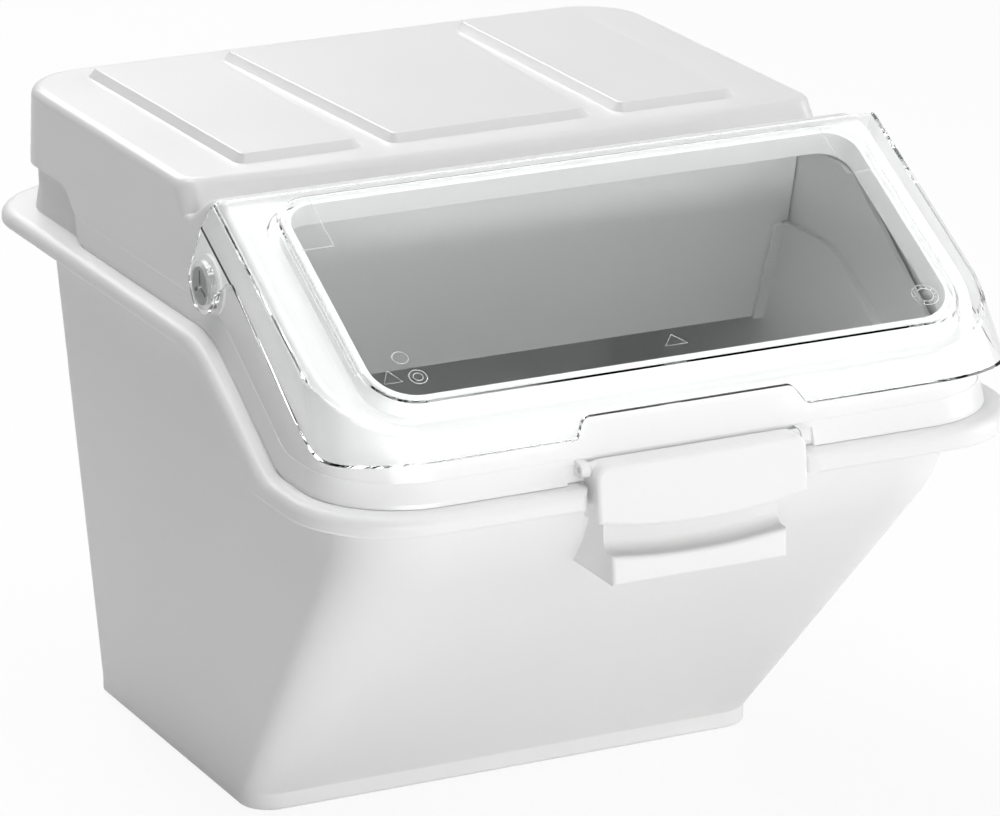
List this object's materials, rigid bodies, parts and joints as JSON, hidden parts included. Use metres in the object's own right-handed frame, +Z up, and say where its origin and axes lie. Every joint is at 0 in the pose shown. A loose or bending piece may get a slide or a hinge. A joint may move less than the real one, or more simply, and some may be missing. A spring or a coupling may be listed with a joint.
{
  "type": "ingredient bin",
  "caption": "Sloping-front kitchen ingredient bin with a lift-off hood, a clear flip lid over a window, a front latch and a drop-in baffle.",
  "frame": {"origin": "middle of the overall width and depth, at shelf level", "axes": "+X to the right seen from the front, +Y from the front to the back, +Z up from the shelf"},
  "size_m": [0.486, 0.5858, 0.4358],
  "materials": {
    "tub_white": "satin moulded polypropylene",
    "cover_white": "glossy moulded plastic",
    "latch_white": "glossy moulded plastic",
    "baffle_white": "satin plastic sheet",
    "clear": "clear polycarbonate",
    "clear_pin": "frosted clear plastic",
    "steel": "bright drawn rod"
  },
  "bodies": {
    "container": {"container": "tub_white", "baffle": "baffle_white"},
    "cover": {"cover": "cover_white", "hinge_pin_left": "clear_pin", "hinge_pin_right": "clear_pin", "latch_pin": "steel"},
    "lid": {"lid": "clear"},
    "latch": {"latch": "latch_white"}
  },
  "joints": [
    {"name": "cover_lift", "type": "slide", "parent": "container", "child": "cover", "axis": [0, 0, 1], "range_m": [0, 0.13]},
    {"name": "lid_hinge", "type": "hinge", "parent": "cover", "child": "lid", "pos_m": [0, -0.0713, 0.3772], "axis": [-1, 0, 0], "range_deg": [0, 55]},
    {"name": "latch_hinge", "type": "hinge", "parent": "cover", "child": "latch", "pos_m": [0, -0.2772, 0.296], "axis": [-1, 0, 0], "range_deg": [0, 90]}
  ]
}
